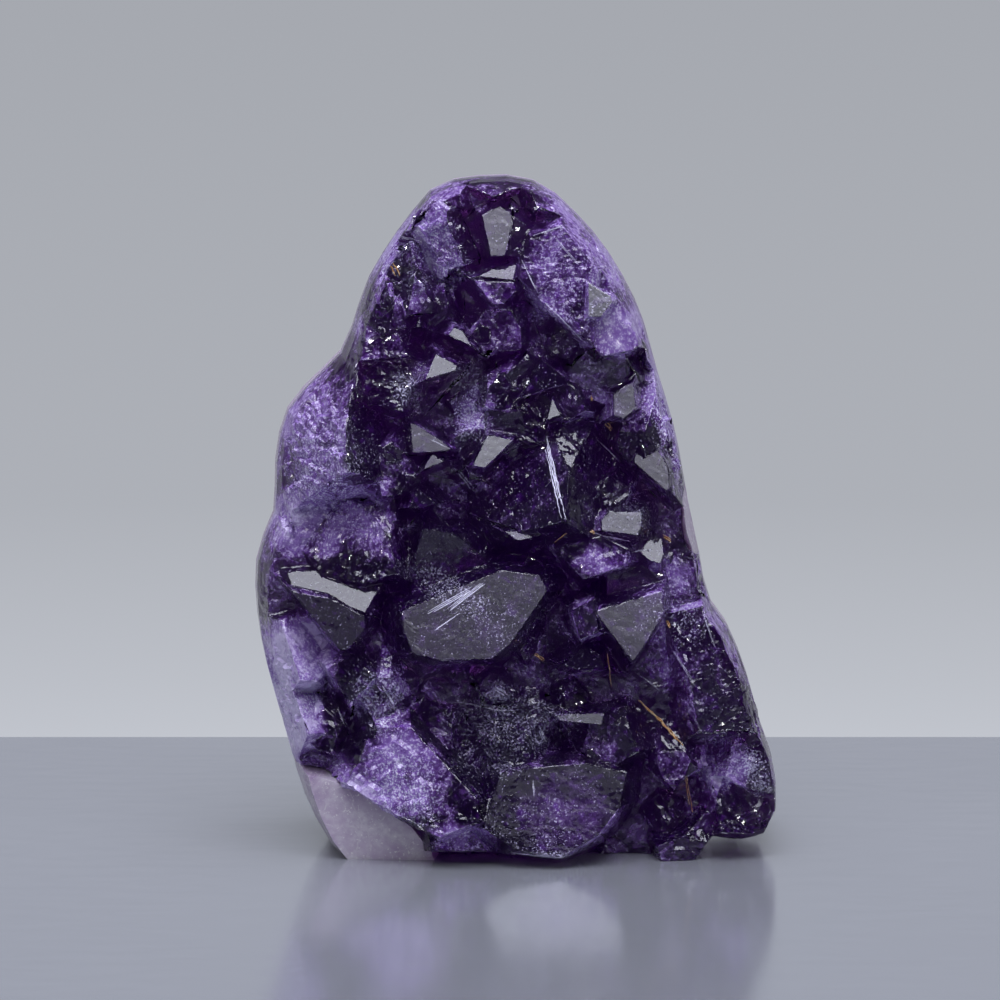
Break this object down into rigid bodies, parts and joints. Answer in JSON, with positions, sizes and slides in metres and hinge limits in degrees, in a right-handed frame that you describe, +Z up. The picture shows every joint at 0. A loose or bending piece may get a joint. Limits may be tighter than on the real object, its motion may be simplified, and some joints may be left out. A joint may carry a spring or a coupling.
{
  "type": "amethyst cluster",
  "caption": "Free-standing cluster of purple quartz points on a pale root, with a polished rim and a flat cut base.",
  "frame": {"origin": "middle of the bounding box, on the plane of the flat cut base", "axes": "+Z up, along the longest extent; the crystal side faces -Y"},
  "size_m": [0.0786, 0.045, 0.1001],
  "materials": {
    "amethyst": "gloss",
    "milky_quartz": "satin"
  },
  "bodies": {
    "root": {"crystals": "amethyst", "quartz_base": "milky_quartz"}
  },
  "joints": []
}
